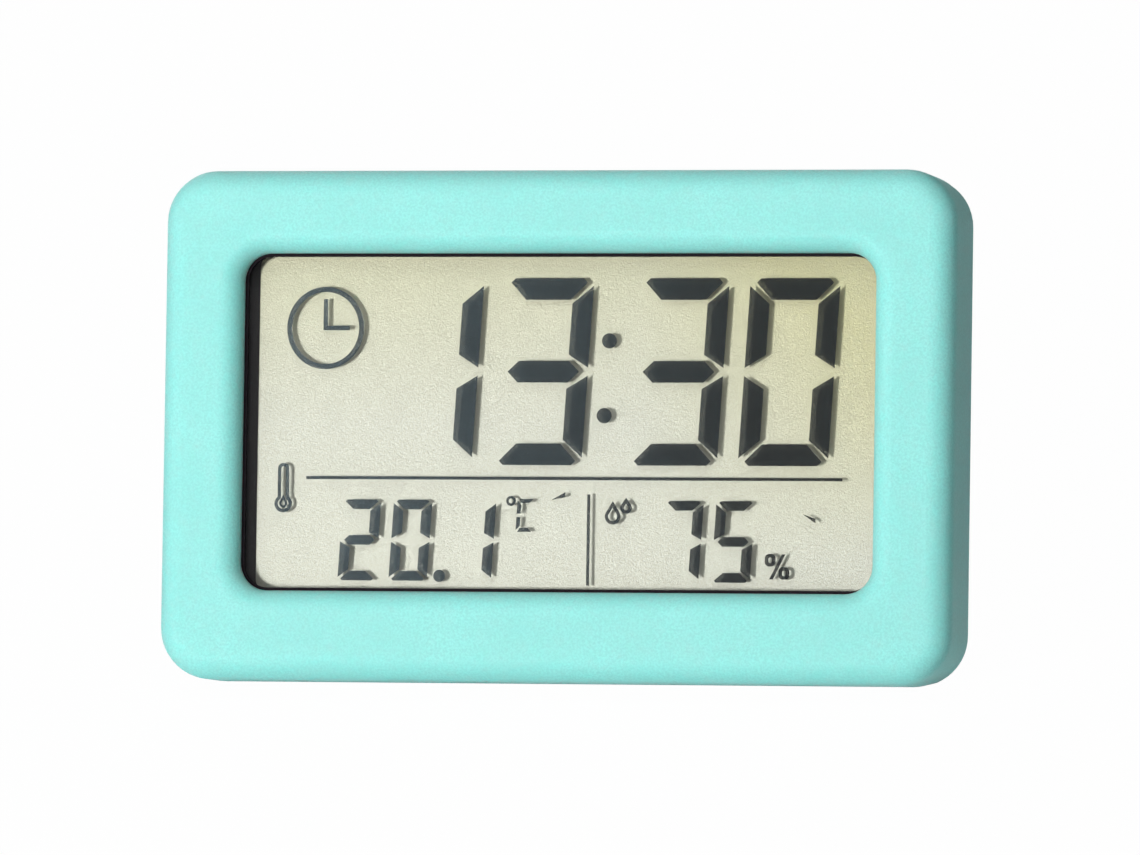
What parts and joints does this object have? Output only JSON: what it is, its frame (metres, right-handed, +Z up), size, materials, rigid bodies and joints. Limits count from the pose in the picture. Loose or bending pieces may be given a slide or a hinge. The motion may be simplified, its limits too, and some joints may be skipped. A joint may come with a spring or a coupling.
{
  "type": "thermometer hygrometer clock",
  "caption": "Rounded desk clock with a reflective display of time, temperature and humidity, rear keys, a coin-turned battery cap and a hinged stand that leans it back.",
  "frame": {"origin": "on the surface that it stands on, under the middle of its width and depth, with the stand open", "axes": "+Z up, +X to the right as seen from the front, +Y from the display to the back; the case leans back by 18 degrees"},
  "size_m": [0.1012, 0.0348, 0.0637],
  "materials": {
    "case": "one colour moulded plastic with a very fine matt grain",
    "stand": "moulded plastic, matt",
    "battery_cap": "moulded plastic, matt",
    "keys": "moulded pale plastic, satin",
    "gasket": "black foam sheet",
    "film": "anti-glare polarizing film",
    "cell_glass": "clear float glass",
    "seal": "cured resin",
    "marks": "dark liquid crystal",
    "reflector": "grained reflecting film, pale grey green",
    "holder": "black moulded plastic",
    "connector": "striped conductive rubber",
    "board": "green lacquered board",
    "resin": "black potting resin",
    "steel": "nickel-plated steel",
    "screws": "zinc-plated steel",
    "chips": "fired ceramic with tinned ends",
    "sensor": "white sensor shell",
    "switches": "black moulded plastic",
    "plungers": "moulded pale plastic"
  },
  "bodies": {
    "clock": {"front_case": "case", "rear_case": "case", "display_gasket": "gasket", "front_polarizer": "film", "lcd_front_glass": "cell_glass", "cell_seal": "seal", "lcd_rear_glass": "cell_glass", "lcd_reflector": "reflector", "time_digits": "marks", "time_colon": "marks", "temperature_digits": "marks", "humidity_digits": "marks", "clock_icon": "marks", "thermometer_icon": "marks", "humidity_icon": "marks", "unit_symbols": "marks", "trend_marks": "marks", "divider_lines": "marks", "lcd_frame": "holder", "contact_strip_upper": "connector", "contact_strip_lower": "connector", "circuit_board": "board", "controller_blob": "resin", "crystal": "steel", "capacitors": "chips", "resistors": "chips", "humidity_sensor": "sensor", "thermistor": "resin", "coin_cell": "steel", "negative_contact": "steel", "positive_contact": "steel", "case_screws": "screws", "board_screws": "screws", "switch_set": "switches", "switch_up": "switches", "switch_down": "switches", "switch_unit": "switches"},
    "stand_leaf": {"stand": "stand"},
    "battery_lid": {"battery_cap": "battery_cap"},
    "set_button": {"key_set": "keys", "plunger_set": "plungers"},
    "up_button": {"key_up": "keys", "plunger_up": "plungers"},
    "down_button": {"key_down": "keys", "plunger_down": "plungers"},
    "unit_button": {"key_unit": "keys", "plunger_unit": "plungers"}
  },
  "joints": [
    {"name": "stand_hinge", "type": "hinge", "parent": "clock", "child": "stand_leaf", "pos_m": [0, 0.00641, 0.03457], "axis": [1, 0, 0], "range_deg": [-34, 0]},
    {"name": "battery_cap_turn", "type": "hinge", "parent": "clock", "child": "battery_lid", "pos_m": [-0.0325, 0.00201, 0.02233], "axis": [0, 0.9511, -0.309], "range_deg": [0, 45]},
    {"name": "set_press", "type": "slide", "parent": "clock", "child": "set_button", "axis": [0, -0.9511, 0.309], "range_m": [0, 0.0003], "stiffness_N_per_m": 5000},
    {"name": "up_press", "type": "slide", "parent": "clock", "child": "up_button", "axis": [0, -0.9511, 0.309], "range_m": [0, 0.0003], "stiffness_N_per_m": 5000},
    {"name": "down_press", "type": "slide", "parent": "clock", "child": "down_button", "axis": [0, -0.9511, 0.309], "range_m": [0, 0.0003], "stiffness_N_per_m": 5000},
    {"name": "unit_press", "type": "slide", "parent": "clock", "child": "unit_button", "axis": [0, -0.9511, 0.309], "range_m": [0, 0.0003], "stiffness_N_per_m": 5000}
  ]
}
